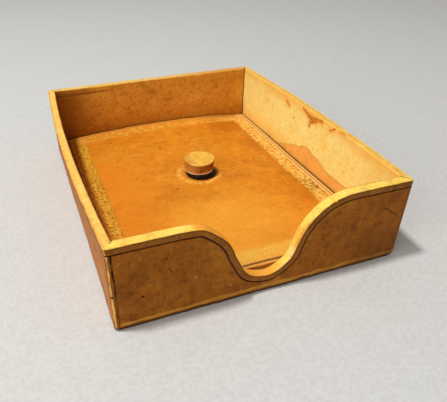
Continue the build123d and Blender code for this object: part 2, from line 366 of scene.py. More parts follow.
# Worn places on the rims, and the lining's band outside under them
RIM_DARK = colour("de9236")
RIM_LIGHT = colour("ffe88a")
RIM_ORANGE = colour("f29c30")
SHOULDER_ORANGE = colour("ffa434")
HIGHLIGHT_PALE = colour("ffeea8")
BAND_BROWN = colour("965a14")
BAND_DARK = colour("643508")
BAND_LIGHT = colour("c0802c")

# Outer leathers, and stains, blots and other marks
OUTER_BROWN = colour("b46a18")
OUTER_DARK = colour("7c440c")
OUTER_LIGHT = colour("cf9234")
# The front's tones are darker than the other outer leathers': partly the leather's own colour,
# partly painted shade
FRONT_BROWN = colour("a05a0e")
FRONT_DARK = colour("643404")
FRONT_LIGHT = colour("be7e1e")
WEAR = colour("dca040")
STAIN = colour("fab454")
EDGE_TAN = colour("f8bc50")
CRACK = colour("b0540c")
BLOT = colour("e0902e")
BLOT_DARK = colour("b4641a")
SPECK = colour("8a4c18")
INK = colour("341604")

# Painted shade along the foot of the walls, where the press board lies against them
FOOT_SHADE = colour("7a3c0c")
PRESS_EDGE_TOP = 14.8

# The linings' mitres have parted at their inner ends, at (|x|, |y|). A painted highlight lies on
# the finger dip's right flank, at (x, z), and the rim's dark band reaches further in over the left
# shoulder.
MITRE_TEAR = (104.6, 130.6)
DIP_HIGHLIGHT = (23.0, 26.0)
SHOULDER_BAND_REACH = 1.3

# Tide mark on the right wall's lining: it climbs from the back, peaks and levels off forwards.
# The climb and the fall are each a height at y = 0 and a slope.
TIDE_CLIMB = (31.0, -0.36)
TIDE_FALL = (35.5, 0.235)
TIDE_LEVEL = 25.3

# Brown blots under the right rim, drawn as strokes with a half width, at (y, z)
BLOTS = (
    ((10.0, 64.8), (0.0, 62.2), 0.9),
    ((0.0, 62.0), (-12.0, 61.5), 2.0),
    ((-4.8, 60.0), (-4.2, 53.5), 1.3),
    ((-6.0, 58.8), (-13.0, 61.5), 2.4),
    ((-12.0, 62.8), (-22.0, 64.2), 1.5),
    ((40.0, 62.0), (34.0, 58.8), 0.8),
    ((-36.0, 62.0), (-42.0, 65.5), 0.9),
    ((-50.0, 66.5), (-57.0, 67.0), 0.6),
)
# Small brown flecks on the same lining
FLECKS = ((25.9, 41.3), (20.4, 37.8), (0.7, 30.0), (-17.1, 35.9), (22.7, 50.7), (76.2, 48.5))


def stained_face(g, face, cloud, pitted):
    """The right wall's lining: tanned along its edges, with a tide mark, blots and flecks."""
    pale = g.rise(g.z + cloud * 0.5, 10, 36) * g.rise(g.z + cloud, 68, 54)
    face = g.mix(face, EDGE_TAN, (1 - pale) * 0.75)
    face = g.mix(face, EDGE_TAN, g.rise(pitted, 0.5, 0.64) * 0.45)

    wiggle = g.wander(7, 4, seed=5)
    climb = g.y * TIDE_CLIMB[1] + TIDE_CLIMB[0]
    fall = g.y * TIDE_FALL[1] + TIDE_FALL[0]
    tide = g.lowest(climb, g.highest(fall, TIDE_LEVEL)) + wiggle
    stained = g.mix(STAIN, CRACK, g.rise(g.noise(9, seed=9), 0.4, 0.8) * 0.25)
    face = g.mix(face, stained, g.rise(g.z - tide, 0.8, -0.8) * 0.95)
    face = g.mix(face, CRACK, g.near(abs(g.z - tide), 0.2, 0.7) * 0.3)

    strokes = [g.stroke(g.y, g.z, start, end) - half for start, end, half in BLOTS]
    blot = g.lowest(*strokes) + g.wander(3, 2.4, seed=8)
    face = g.mix(face, EDGE_TAN, g.rise(blot, 4, 0) * 0.7)
    soaked = g.mix(BLOT, BLOT_DARK, g.rise(g.noise(2.4, seed=16), 0.4, 0.65))
    face = g.mix(face, soaked, g.rise(blot, 0.7, -0.5) * 0.95)

    flecks = g.nearest(g.y, g.z, FLECKS) + g.wander(1.6, 5, seed=4)
    face = g.mix(face, SPECK, g.rise(flecks, 1.4, 0.2) * 0.5)
    # Painted shade on the lining just above the press board, at the wall's foot
    shaded_foot = g.rise(g.z, PRESS_EDGE_TOP + 0.3, PRESS_EDGE_TOP - 0.4)
    return g.mix(face, FOOT_SHADE, shaded_foot * 0.55)


def leather_faces(g, wall, seed):
    """Colour of one wall's lining on its inner face."""
    base, dark, light = LINING[wall]
    face = mottle(g, base, dark, light, seed)
    face = g.mix(face, SPECK, g.spots(7, 0.7, 0.4, seed + 3) * 0.5)
    face = g.mix(face, dark, g.spots(3.5, 0.55, 0.6, seed + 4) * 0.7)
    pitted = g.noise(1.9, seed=seed + 10, roughness=0.7)
    face = g.mix(face, dark, g.rise(pitted, 0.53, 0.68) * 0.5)
    cloud = g.wander(16, 14, seed=seed + 5)
    if wall == "right":
        return stained_face(g, face, cloud, pitted)
    face = g.mix(face, dark, g.rise(g.z + cloud * 0.4, 44, 14) * 0.65)
    if wall == "back":
        face = g.mix(face, SPECK, g.spots(5, 1.1, 0.6, seed + 7) * 0.7)
        blotches = g.noise(2.6, detail=4, seed=17, roughness=0.7)
        face = g.mix(face, dark, g.rise(blotches, 0.52, 0.66) * 0.45)
        face = g.mix(face, light, g.rise(blotches, 0.46, 0.34) * 0.35)
        crease = g.math("SINE", (g.x * 0.85 + g.z * 0.5 + cloud * 0.4) * (2 * pi / 2.8))
        face = g.mix(face, dark, g.rise(crease, 0.2, 0.9) * g.rise(g.x, 40, 75) * 0.16)
        # Painted shade: the back lining darkens towards its left end and corner
        face = g.mix(face, OUTER_DARK, g.rise(g.x, -50, -110) * 0.8)
        streak = g.wander(2.5, 5, seed=6, stretch=(9, 1, 1))
        smear = g.rise(abs(g.z - 62 + streak), 1.6, 0.4) * g.rise(g.x, -45, -60)
        face = g.mix(face, OUTER_DARK, smear * 0.6)
    return face


def dip_wear(g, rim, depth):
    """Scuffed places, an orange shoulder and a painted highlight where the front rim dips for the
    fingers.
    """
    low = g.rise(g.z, 34, 16) * g.rise(g.x, 16, 2)
    rim = g.mix(rim, RIM_ORANGE, low * 0.8)
    flank = g.rise(g.z, 58, 44) * g.rise(g.x, 12, 22)
    scuffed = depth + g.wander(2.5, 5, detail=4, seed=35, roughness=0.6)
    rim = g.mix(rim, RIM_ORANGE, flank * 0.3)
    rim = g.mix(rim, RIM_DARK, flank * g.rise(scuffed, 3.0, 1.6) * 0.7)
    faded = g.x + g.wander(3, 6, seed=36, stretch=(1, 3, 1))
    faded = g.rise(faded, -57, -51) * g.rise(g.x, -14, -26)
    rim = g.mix(rim, SHOULDER_ORANGE, faded * 0.9)
    # Painted highlight on the dip's right flank
    painted_highlight = g.point(g.x, g.z, DIP_HIGHLIGHT) + g.wander(3, 6, seed=34)
    return g.mix(rim, HIGHLIGHT_PALE, g.rise(painted_highlight, 9, 3) * 0.7)


def rim_surface(g, wall, depth, seed):
    """Worn gold of one wall's rim, with its mitres cracked at the corners."""
    rim = mottle(g, RIM_GOLD[wall], RIM_DARK, RIM_LIGHT, seed + 5, size=14)
    rim_arris = g.rise(depth + g.noise(2.2, seed=seed) * 1.4, 2.2, 1.1)
    arris_tone = RIM_LIGHT if wall == "right" else RIM_DARK
    patchy = g.rise(g.noise(5, seed=seed + 9), 0.4, 0.6) if wall == "front" else 1.0
    rim = g.mix(rim, arris_tone, rim_arris * patchy * 0.5)
    if wall == "front":
        rim = dip_wear(g, rim, depth)
    if wall == "back":
        rim = g.mix(rim, RIM_DARK, g.rise(g.x, -20, 80) * 0.7)
    mitre = abs(HALF_WIDTH - abs(g.x) - (HALF_DEPTH - abs(g.y)) * (SIDE_WALL / END_WALL))
    cracked = g.rise(g.noise(2.6, seed=31), 0.42, 0.56)
    torn = g.near(g.point(abs(g.x), abs(g.y), MITRE_TEAR), 2.0, 0.8)
    return g.mix(rim, INK, g.near(mitre, 0.25, 0.3) * g.highest(cracked * 0.6, torn))


def lining_material(wall):
    """Pale lining leather of one wall, its worn gold rim and its dark turned-down outside."""
    g = Graph(f"lining_{wall}")
    depth, thickness = wall_depth(g, wall)
    seed = 10 + len(wall)
    inside = leather_faces(g, wall, seed)
    inner_corner = HALF_DEPTH - END_WALL - abs(g.y)
    if wall in ("front", "back"):
        inner_corner = HALF_WIDTH - SIDE_WALL + bow(g) - abs(g.x)
    seam = g.rise(inner_corner + g.noise(2, detail=2, seed=seed) * 0.5, 0.9, 0.4)
    inside = g.mix(inside, INK, seam * 0.8)

    rim = rim_surface(g, wall, depth, seed)
    band = mottle(g, BAND_BROWN, BAND_DARK, BAND_LIGHT, seed + 6, size=12)
    if wall in ("left", "right"):
        band = g.mix(band, BAND_LIGHT, 0.5)
    below = below_rim(g, wall)
    frayed = below + g.wander(1.8, 0.5, seed=seed + 8)
    band = g.mix(band, INK, g.rise(frayed, 1.5, 0.9) * 0.5)
    band = g.mix(band, INK, g.rise(frayed, BAND - 0.4, BAND - 0.1) * 0.7)
    surface = g.mix(rim, inside, g.rise(depth, thickness - 1.25, thickness - 0.8))
    arris_line = 0.6
    if wall == "front":
        arris_line = g.rise(g.x, -47, -40) * g.rise(g.x, -12, -26) * SHOULDER_BAND_REACH + 0.6
    past_arris = depth + g.noise(1.5, detail=2, seed=seed) * 0.3 - arris_line
    turned_down = g.rise(past_arris, 0.3, 0.0)
    surface = g.mix(surface, band, turned_down * g.rise(frayed, 0.1, 0.6))
    return g.finish(surface, leather_relief(g, seed), roughness=0.52, specular=0.12)


# Pin holes, spots and scratches in the leather on the front, at (x, z), and the seam between the
# front leather and the left one, which laps round the corner
FRONT_HOLES = ((-108.8, 30.0), (-89.9, 24.7))
RUST_HOLE = (104.8, 6.7)
FRONT_SPOTS = (
    (-71.7, 42.1), (-70.8, 39.7), (-73.3, 50.6), (41.0, 47.8), (39.0, 44.2), (43.6, 37.4),
    (40.4, 33.5), (44.0, 22.8), (44.0, 19.8), (38.5, 20.4), (35.1, 13.9),
)
FRONT_LIGHT_SPOTS = ((-54.5, 29.6), (-29.8, 14.2))
DARK_SCRATCH = ((89.7, 48.2), (101.7, 39.6))
PALE_SCRATCH = ((59.3, 29.3), (69.8, 28.4))
LEFT_SEAM = -105.9
SCRATCH = colour("4a2408")
PALE_SPOT = colour("d09c60")
RUST = colour("6b1a0c")

# Worn corner edges, and the painted rosy sheen on the left wall's outside
CORNER_TAN = colour("f4b866")
ROSY_SHEEN = colour("c8846c")


def on_front(g):
    """1 on the front of the tray, which the side leathers lap on to, and 0 on its other sides."""
    return g.rise(g.y, 2.0 - HALF_DEPTH, 1.2 - HALF_DEPTH)


def lapped_corner(g, wall, surface, streaks, seed):
    """A side leather's dark lap on the front, its worn corner edges and the left one's painted
    sheen.
    """
    corner = HALF_DEPTH - abs(g.y)
    past = HALF_WIDTH - abs(g.x)
    arris = g.highest(corner, past)
    worn = g.noise(5, detail=4, seed=seed + 6, stretch=(1, 1, 2)) * 2.4
    strength = 0.95 if wall == "left" else 0.3
    lap = on_front(g)
    # The lap is darkened towards the front's tones, which are partly painted shade
    surface = g.mix(surface, FRONT_DARK, lap * 0.5)
    if wall == "left":
        # Painted rosy sheen on the left wall's outside
        sheen_share = g.rise(streaks, 0.65, 0.38) * 0.15 + 0.08
        surface = g.mix(surface, ROSY_SHEEN, (1 - lap) * sheen_share)
    return g.mix(surface, CORNER_TAN, g.rise(arris + worn, 2.4, 1.6) * strength)


def front_marks(g, surface):
    """Spots, scratches and a darkened end on the front leather, and its frayed left seam."""
    dark = g.nearest(g.x, g.z, FRONT_SPOTS)
    scratch = g.stroke(g.x, g.z, *DARK_SCRATCH) + g.noise(3, detail=2, seed=2) * 1.2
    surface = g.mix(surface, INK, g.near(dark, 0.5, 0.9) * 0.6)
    surface = g.mix(surface, SCRATCH, g.near(scratch, 0.7, 1.8) * 0.6)
    pale = g.nearest(g.x, g.z, FRONT_LIGHT_SPOTS)
    pale_line = g.stroke(g.x, g.z, *PALE_SCRATCH) + g.noise(3, detail=2, seed=3) * 0.8
    surface = g.mix(surface, PALE_SPOT, g.near(pale, 0.4, 0.7) * 0.8)
    surface = g.mix(surface, OUTER_LIGHT, g.near(pale_line, 0.3, 0.7) * 0.4)
    shade = g.rise(g.x + g.noise(14, seed=14) * 16, 62, 88) * g.rise(g.z, 40, 20)
    surface = g.mix(surface, FRONT_DARK, shade * 0.45)
    seam = abs(g.x + g.noise(3, seed=12) * 1.4 - LEFT_SEAM)
    gaps = g.rise(g.noise(3.4, seed=13, roughness=0.6), 0.42, 0.5)
    torn = g.rise(g.z, 27.5, 31) * (gaps * 0.6 + 0.4) + gaps * 0.3
    return g.mix(surface, INK, g.near(seam, 0.35, 0.4) * torn * 0.9)


def outer_material(wall):
    """Dark outer leather of one wall, with worn lower and corner edges, painted shade along its
    foot and small marks.
    """
    g = Graph(f"outer_{wall}")
    seed = 40 + len(wall)
    base, dark, light = OUTER_BROWN, OUTER_DARK, OUTER_LIGHT
    if wall == "front":
        base, dark, light = FRONT_BROWN, FRONT_DARK, FRONT_LIGHT
    surface = mottle(g, base, dark, light, seed)
    streaks = g.noise(3.5, seed=seed + 5, stretch=(1, 1, 5))
    streaked = 0.45 if wall == "front" else 0.15
    surface = g.mix(surface, light, g.rise(streaks, 0.55, 0.8) * streaked)
    smudges = g.noise(6, detail=4, seed=seed + 9, stretch=(1.6, 1.6, 1), roughness=0.7)
    surface = g.mix(surface, dark, g.rise(smudges, 0.52, 0.7) * 0.4)
    surface = g.mix(surface, dark, g.spots(6, 0.7, 0.5, seed + 3) * 0.5)
    surface = g.mix(surface, light, g.spots(9, 0.6, 0.4, seed + 4) * 0.5)
    ragged = g.wander(4, 3, detail=4, seed=seed, stretch=(2.5, 2.5, 1))
    ridge = g.rise(abs(g.z + ragged - 5.0), 1.9, 0.6)
    thin = g.noise(1.2, detail=2, seed=seed + 7, stretch=(9, 9, 1))
    surface = g.mix(surface, WEAR, ridge * (g.rise(thin, 0.35, 0.65) * 0.5 + 0.3))
    # Painted shade where the foot's edge rounds under, and a painted contact shadow along the
    # bottom
    surface = g.mix(surface, OUTER_DARK, g.rise(g.z, 3.6, 2.2) * 0.75)
    surface = g.mix(surface, INK, g.rise(g.z, 2.9, 1.9) * 0.9)
    top = below_rim(g, wall) + g.wander(1.8, 0.5, seed=seed + 8)
    surface = g.mix(surface, INK, g.rise(top, BAND + TOOLED_LINE + 0.3, BAND + TOOLED_LINE) * 0.6)
    height = leather_relief(g, seed)
    if wall in ("left", "right"):
        surface = lapped_corner(g, wall, surface, streaks, seed)
    if wall != "back":
        hole = g.near(g.nearest(g.x, g.z, FRONT_HOLES), 0.6, 0.35) * on_front(g)
        rust = g.near(g.point(g.x, g.z, RUST_HOLE), 0.7, 0.4) * on_front(g)
        surface = g.mix(surface, INK, hole)
        surface = g.mix(surface, RUST, rust)
        height = height - (hole + rust) * 0.6
    if wall == "front":
        surface = front_marks(g, surface)
    return g.finish(surface, height, roughness=0.6, specular=0.12)


# The press board's leather, its gilding, the marks round its knob, and painted shade and shadow on
# it
PRESS_ORANGE = colour("ee901c")
PRESS_DARK = colour("bc6a10")
PRESS_LIGHT = colour("fbae38")
PRESS_RED = colour("ff961c")
GOLD = colour("fccc5c")
PALE_GOLD = colour("ffe092")
GOLD_GROUND = colour("e8a63a")
GOLD_HOLLOW = colour("b86c18")
CLUMP_GOLD = colour("ffd878")
CLUMP_HOLLOW = colour("9c6420")
FRONT_GILT = colour("ffc64c")
OLD_GOLD = colour("e09c1e")
OLD_GOLD_LIGHT = colour("f8cc50")
OLD_GOLD_DARK = colour("7c4c0c")
OLIVE = colour("5c4010")
HANDLED = colour("fcc054")
KNOB_SHADE = colour("160802")
PALE_EDGE = colour("ffca74")
TOOLED_BLACK = colour("1e0a02")
LEFT_SHADE_BROWN = colour("8c5216")
STREAK_BROWN = colour("54300e")

# Small dark spots on the press board, at (x, y), and the middles of the places where its gilt has
# gone olive, its leather has faded and its back right corner has browned
PRESS_SPOTS = (
    (-16.4, 69.3), (-65.7, 46.3), (-46.0, -17.5), (-60.1, 97.6), (-53.7, 19.0), (-82.0, -20.0),
    (-79.9, -46.1), (-60.9, -52.8), (-24.6, -11.5),
)
OLIVE_PATCH = (88.5, -44.0)
FADED_PATCH = (0.0, -85.0)
BROWNED_CORNER = (76.0, 106.0)

# Gilt border, in distances from the press board's edge
BORDER_LINE = 3.0
TICK_PITCH = 1.7
BAND_START = 5.6
BAND_WIDTH = 13.4
LEFT_SHIFT = 3.4  # how much further in the band's outer edge lies along the left side
LEFT_NARROWER = 3.6
ROLL_PITCH = 7.2
ROLL_SWING = 3.0


def gilt_border(g):
    """Masks of the border's dashed line, its gilt band and the lace roll in the band."""
    from_side = PRESS_HALF_WIDTH - abs(g.x)
    from_end = PRESS_HALF_LENGTH - abs(g.y)
    distance = g.lowest(from_side, from_end)
    on_side = g.math("LESS_THAN", from_side, from_end)
    along = g.x + (g.y - g.x) * on_side
    on_left = on_side * g.rise(g.x, 10, -10)

    phase = g.math("FRACT", along / TICK_PITCH)
    dash = g.highest(g.near(abs(phase - 0.5), 0.28, 0.12), 0.1)
    at_front = g.rise(g.y, -PRESS_HALF_LENGTH + 9, -PRESS_HALF_LENGTH + 7)
    line = g.near(abs(distance - BORDER_LINE), at_front * 0.6 + 0.4, 0.3) * dash

    drift = g.wander(11, 3, seed=80, roughness=0.6)
    outer = on_left * LEFT_SHIFT + BAND_START + drift * 0.5
    inner = outer + BAND_WIDTH - on_left * LEFT_NARROWER
    middle = (outer + inner) * 0.5
    turn = along * (2 * pi / ROLL_PITCH)
    swing = g.math("SINE", turn) * ROLL_SWING
    vine = g.near(abs(distance - middle - swing), 0.8, 0.7)
    vine_two = g.near(abs(distance - middle + swing), 0.7, 0.7)
    cell = g.math("FRACT", along / ROLL_PITCH + 0.25)
    across = (cell - 0.5) * ROLL_PITCH
    centre = g.point(across, distance - middle, (0.0, 0.0))
    ring = g.near(abs(centre - 2.0), 0.5, 0.5)
    lumps, chance = g.cells(2.8, 74)
    leaves = g.rise(lumps, 0.55, 0.3) * g.rise(chance, 0.2, 0.5)
    roll = g.highest(vine, vine_two, ring, leaves)
    ragged = g.wander(4.4, 9, detail=4, seed=81, roughness=0.65)
    reach = inner + ragged * (1.15 - on_left)
    band = g.rise(distance - outer, -0.6, 0.4) * g.rise(distance - reach, 0.5, -0.6)
    return distance, on_left, line, band, roll * band


def press_ground(g):
    """Colour of the press board's leather without knob or gilding, and its hatched grain."""
    surface = mottle(g, PRESS_ORANGE, PRESS_DARK, PRESS_LIGHT, 70, size=36)
    streaks = g.noise(3.2, detail=4, seed=71, stretch=(4, 1, 1), roughness=0.6)
    surface = g.mix(surface, PRESS_DARK, g.rise(streaks, 0.52, 0.75) * 0.55)
    scuffs = g.noise(5, detail=5, seed=86, roughness=0.7)
    surface = g.mix(surface, PRESS_DARK, g.rise(scuffs, 0.55, 0.72) * 0.6)
    pitted = g.noise(1.7, seed=100, roughness=0.7)
    surface = g.mix(surface, PRESS_DARK, g.rise(pitted, 0.53, 0.68) * 0.5)
    surface = g.mix(surface, PRESS_LIGHT, g.rise(pitted, 0.46, 0.34) * 0.3)
    hatch_one = g.math("SINE", (g.x * 0.8 - g.y * 0.6) * (2 * pi / 1.8))
    hatch_two = g.math("SINE", (g.x * 0.8 + g.y * 0.6) * (2 * pi / 1.5))
    hatch = hatch_one * 0.75 + hatch_two * 0.25
    patchy = g.noise(40, detail=2, seed=72)
    hatched = g.rise(hatch, -0.2, 0.9) * g.rise(patchy, 0.3, 0.6)
    surface = g.mix(surface, PRESS_DARK, hatched * 0.72)
    spots = g.nearest(g.x, g.y, PRESS_SPOTS) + g.wander(1.5, 1.4, detail=2, seed=73)
    surface = g.mix(surface, SPECK, g.near(spots, 0.5, 1.1) * 0.8)
    surface = g.mix(surface, SPECK, g.spots(13, 0.8, 0.35, 73) * 0.5)
    side = g.rise(g.x + g.noise(18, seed=82) * 24, 82, 92) * g.rise(abs(g.y), 95, 60)
    surface = g.mix(surface, PRESS_DARK, side * 0.55)
    cloudy = g.noise(24, detail=4, seed=99, roughness=0.65) + g.rise(g.x, 20, 85) * 0.12
    surface = g.mix(surface, PRESS_DARK, g.rise(cloudy, 0.56, 0.7) * g.rise(g.y, -85, -40) * 0.5)
    surface = g.mix(surface, PRESS_RED, g.rise(g.x, -20, -70) * g.rise(g.y, 90, 30) * 0.5)
    back_right = g.point(g.x, g.y, BROWNED_CORNER) + g.wander(9, 30, detail=4, seed=98)
    surface = g.mix(surface, PRESS_DARK, g.rise(back_right, 42, 16) * 0.65)
    sunlit = g.rise(g.point(g.x, g.y, FADED_PATCH) + g.noise(25, detail=2, seed=85) * 30, 95, 30)
    return g.mix(surface, PRESS_LIGHT, sunlit * 0.5), hatch


def knob_marks(g, surface):
    """The ring that fingers have worn pale round the knob, and a painted shadow under it."""
    from_knob = g.point(g.x, g.y, KNOB_CENTRE)
    ragged = from_knob + g.wander(4, 8, detail=4, seed=79, roughness=0.65)
    handled = g.rise(ragged, 22.5, 19) * g.rise(from_knob, 15.5, 17.5)
    toward_front_left = (KNOB_CENTRE.x - g.x) * 0.6 + (KNOB_CENTRE.y - g.y)
    patches = g.noise(2.4, detail=4, seed=83, roughness=0.7)
    patches = patches + g.rise(toward_front_left, -16, 12) * 0.14
    surface = g.mix(surface, HANDLED, handled * g.rise(patches, 0.52, 0.66) * 0.8)
    # Painted shadow under the knob, reaching out to its right and front
    in_shade = g.point(g.x, g.y, (KNOB_CENTRE.x + 2.0, KNOB_CENTRE.y - 0.8))
    return g.mix(surface, KNOB_SHADE, g.rise(in_shade, 16, 13) * 0.95)


def gilding(g, surface):
    """Lay the worn gilt border over the leather. Also how deep the tooling is pressed in."""
    distance, on_left, line, band, roll = gilt_border(g)
    worn = g.rise(g.noise(9, detail=4, seed=75, roughness=0.65), 0.30, 0.58)
    at_back = g.rise(g.y, 100, 112) * g.rise(abs(g.x + 10), 82, 66)
    worn = worn * (1 - at_back * 0.6)
    on_right = g.rise(g.x, 90, 96)
    at_front = g.rise(g.y, 24 - PRESS_HALF_LENGTH, 18 - PRESS_HALF_LENGTH) * (1 - on_left)
    ground = g.mix(GOLD_GROUND, OLD_GOLD, on_left)
    surface = g.mix(surface, ground, band * (worn * 0.5 + 0.35) * (1 - at_back * 0.6))
    outside = g.rise(distance, BAND_START + 0.6, BAND_START - 0.6)
    pale_edge = (1 - on_left) * (1 - at_back * 0.3) * (on_right * 0.6 + 0.25)
    surface = g.mix(surface, PALE_EDGE, outside * pale_edge)
    # Dark strip along the board's left edge: partly painted shade of the left wall, partly the
    # leather's dark streaks
    brown = g.rise(distance, BAND_START + LEFT_SHIFT + 0.4, BAND_START + LEFT_SHIFT - 1.4)
    streaky = g.noise(1.6, seed=84, stretch=(1, 4, 1))
    surface = g.mix(surface, LEFT_SHADE_BROWN, brown * on_left * 0.22)
    surface = g.mix(surface, STREAK_BROWN, brown * on_left * g.rise(streaky, 0.45, 0.6) * 0.5)
    fine = g.noise(1.7, seed=77)
    hollow_tone = g.mix(GOLD_HOLLOW, OLD_GOLD_DARK, on_left)
    hollow = (1 - roll) * band * g.rise(fine, 0.42, 0.62) * (1 - at_back * 0.7)
    surface = g.mix(surface, hollow_tone, hollow * (on_right * 0.25 + 0.6 - at_front * 0.35))
    bright = g.mix(GOLD, OLD_GOLD_LIGHT, on_left)
    bright = g.mix(bright, PALE_GOLD, on_right)
    tone = g.mix(ground, bright, g.rise(g.noise(1.8, seed=76), 0.38, 0.6))
    strength = on_right * 0.5 + 0.6 - at_back * 0.2 - on_left * 0.25
    surface = g.mix(surface, tone, roll * worn * strength)
    clumps = g.noise(3.0, detail=4, seed=96, roughness=0.65)
    clumped = g.rise(g.x, 76, 82) * band
    inward = g.rise(distance, 9, 15) * 0.45 + 0.35
    surface = g.mix(surface, CLUMP_GOLD, g.rise(clumps, 0.48, 0.58) * clumped * 0.65)
    surface = g.mix(surface, CLUMP_HOLLOW, g.rise(clumps, 0.44, 0.34) * clumped * inward)
    surface = g.mix(surface, FRONT_GILT, band * at_front * 0.3)
    surface = g.mix(surface, FRONT_GILT, g.rise(clumps, 0.5, 0.6) * band * at_back * 0.7)
    grains = g.noise(2.0, detail=4, seed=94, roughness=0.65)
    surface = g.mix(surface, bright, g.rise(grains, 0.54, 0.66) * band * on_left)
    surface = g.mix(surface, hollow_tone, g.rise(grains, 0.46, 0.34) * band * on_left)
    tarnish = g.near(g.point(g.x, g.y, OLIVE_PATCH), 6, 26)
    specks = g.noise(2.4, detail=4, seed=78, roughness=0.6) + tarnish * 0.2
    surface = g.mix(surface, OLIVE, g.rise(specks, 0.70, 0.78) * band * 0.8)
    surface = g.mix(surface, TOOLED_BLACK, line * (1 - at_back * 0.6))
    # Painted shade along the press board's side edges, where they meet the walls
    at_side = g.rise(abs(g.x), PRESS_HALF_WIDTH - 0.7, PRESS_HALF_WIDTH - 0.3)
    return g.mix(surface, FOOT_SHADE, at_side * 0.7), g.highest(line, roll * worn)


def press_material():
    """Orange tan leather of the press board, with fine hatched grain and a worn gilt border."""
    g = Graph("press_leather")
    surface, hatch = press_ground(g)
    surface, tooled = gilding(g, knob_marks(g, surface))
    height = leather_relief(g, 78) + hatch * 0.02 - tooled * 0.10
    return g.finish(surface, height, roughness=0.5, specular=0.16)


# Base, dark and light tones of the plainer pieces
# The floor lining is dark brown: painted shade in the gap round the press board
FLOOR_LEATHER = tones("8a5420", "5a3210", "a86c30")
UNDER_LEATHER = tones("a9743f", "7c4e24", "c29059")
CLOTH = tones("4a3423", "2c1e13", "5d4630")
CARCASS_WOOD = tones("b98a58", "8a5c31")
# The knob's neck is near black: painted shade under the knob
SHADED_NECK_WOOD = tones("3a2012", "1f0f07")
STEEL = tones("6d6862", "a39d94")
FLOOR_PAPER = tones("cfceca", "d8d7d3")

# The knob's leathers, and their grain, creases, sides and edges
KNOB_TOP = tones("ffc044", "d48a28", "ffe070")
KNOB_TOP_GRAIN = colour("c4781e")
KNOB_TOP_LEFT = colour("d08c34")
KNOB_BACK_EDGE = colour("9a5a1c")
KNOB_EDGE_HIGHLIGHT = colour("ffd868")
KNOB_SIDE = tones("b26c22", "66300a", "d49a4a")
KNOB_CREASE = colour("522408")
KNOB_SIDE_LIT = colour("dca450")
KNOB_SIDE_SHADED = colour("5c2a0c")
KNOB_LOW_HIGHLIGHT = colour("fcd8b0")


def plain_leather(name, base, dark, light, seed, roughness=0.55):
    """Mottled leather with no marks of its own."""
    g = Graph(name)
    surface = mottle(g, base, dark, light, seed, size=15)
    surface = g.mix(surface, dark, g.spots(4, 0.7, 0.5, seed + 3) * 0.6)
    return g.finish(surface, leather_relief(g, seed), roughness=roughness)


def wood_material(name, base, dark):
    """Straight-grained wood, with the grain along X, and painted shade where the leathers' seams
    open.
    """
    g = Graph(name)
    rings = g.noise(6, detail=4, seed=3, stretch=(14, 1, 1), distortion=0.4)
    pores = g.noise(0.9, detail=2, seed=4, stretch=(9, 1, 1))
    surface = g.mix(base, dark, g.rise(rings, 0.4, 0.65) * 0.7)
    surface = g.mix(surface, dark, g.rise(pores, 0.6, 0.75) * 0.6)
    depth = g.lowest(HALF_WIDTH + bow(g) - abs(g.x), HALF_DEPTH - abs(g.y))
    # Painted shade where the leathers' seams open, so the tooled line reads dark
    surface = g.mix(surface, INK, g.rise(depth, 2.4, 1.6))
    return g.finish(surface, rings * 0.1 - pores * 0.05, roughness=0.6)


def steel_material():
    """Dull drawn wire."""
    g = Graph("pin_steel")
    drawn = g.noise(0.3, seed=5, stretch=(1, 8, 1))
    surface = g.mix(*STEEL, g.rise(drawn, 0.35, 0.7))
    return g.finish(surface, drawn * 0.01, roughness=0.4, metallic=1.0)


def knob_top_material():
    """Yellow leather on top of the knob, browner at its left, with a painted highlight along its
    front edge.
    """
    g = Graph("knob_top_leather")
    surface = mottle(g, *KNOB_TOP, 90, size=9)
    grain = g.noise(1.3, seed=92, roughness=0.6)
    surface = g.mix(surface, KNOB_TOP_GRAIN, g.rise(grain, 0.52, 0.66) * 0.7)
    from_axis = g.point(g.x, g.y, KNOB_CENTRE)
    off_left = KNOB_CENTRE.x - g.x + g.wander(4, 5, seed=93)
    surface = g.mix(surface, KNOB_TOP_LEFT, g.rise(off_left, 3, 10) * 0.6)
    edge = g.rise(from_axis, KNOB_RADIUS - 1.3, KNOB_RADIUS - 0.3)
    toward_front = g.rise((g.x - KNOB_CENTRE.x) * 0.7 + (KNOB_CENTRE.y - g.y), -3, 5)
    surface = g.mix(surface, KNOB_BACK_EDGE, edge * (1 - toward_front) * 0.5)
    # Painted highlight along the top's front edge
    surface = g.mix(surface, KNOB_EDGE_HIGHLIGHT, edge * toward_front * 0.7)
    return g.finish(surface, leather_relief(g, 90), roughness=0.45, specular=0.3)


def knob_side_material():
    """Red-brown leather round the knob, with painted light on its left, painted shade on its right
    and a painted highlight along its lower edge.
    """
    g = Graph("knob_side_leather")
    surface = mottle(g, *KNOB_SIDE, 87, size=9)
    creases = g.noise(1.3, seed=89, stretch=(1, 1, 5))
    surface = g.mix(surface, KNOB_CREASE, g.rise(creases, 0.5, 0.68) * 0.7)
    # Painted light on the knob side's left and painted shade on its right
    off_centre = g.x - KNOB_CENTRE.x + g.wander(3, 6, seed=91)
    surface = g.mix(surface, KNOB_SIDE_LIT, g.rise(off_centre, -1, -10) * 0.7)
    surface = g.mix(surface, KNOB_SIDE_SHADED, g.rise(off_centre, 3, 11) * 0.65)
    # Painted highlight along the side's lower edge
    low = KNOB_LOW + 1.2
    painted_highlight = g.rise(g.z + g.noise(2, seed=88) * 0.8, low + 0.8, low)
    surface = g.mix(surface, KNOB_LOW_HIGHLIGHT, painted_highlight * 0.9)
    return g.finish(surface, leather_relief(g, 87), roughness=0.5, specular=0.15)


def cloth_material():
    """Brushed wool cloth under the tray."""
    g = Graph("underside_cloth")
    threads = g.noise(0.8, detail=4, seed=6, roughness=0.7)
    slow = g.noise(30, seed=7)
    base, dark, light = CLOTH
    surface = g.mix(base, dark, g.rise(threads, 0.4, 0.65))
    surface = g.mix(surface, light, g.rise(slow, 0.5, 0.75) * 0.5)
    return g.finish(surface, threads * 0.2, roughness=0.95, sheen=0.4)


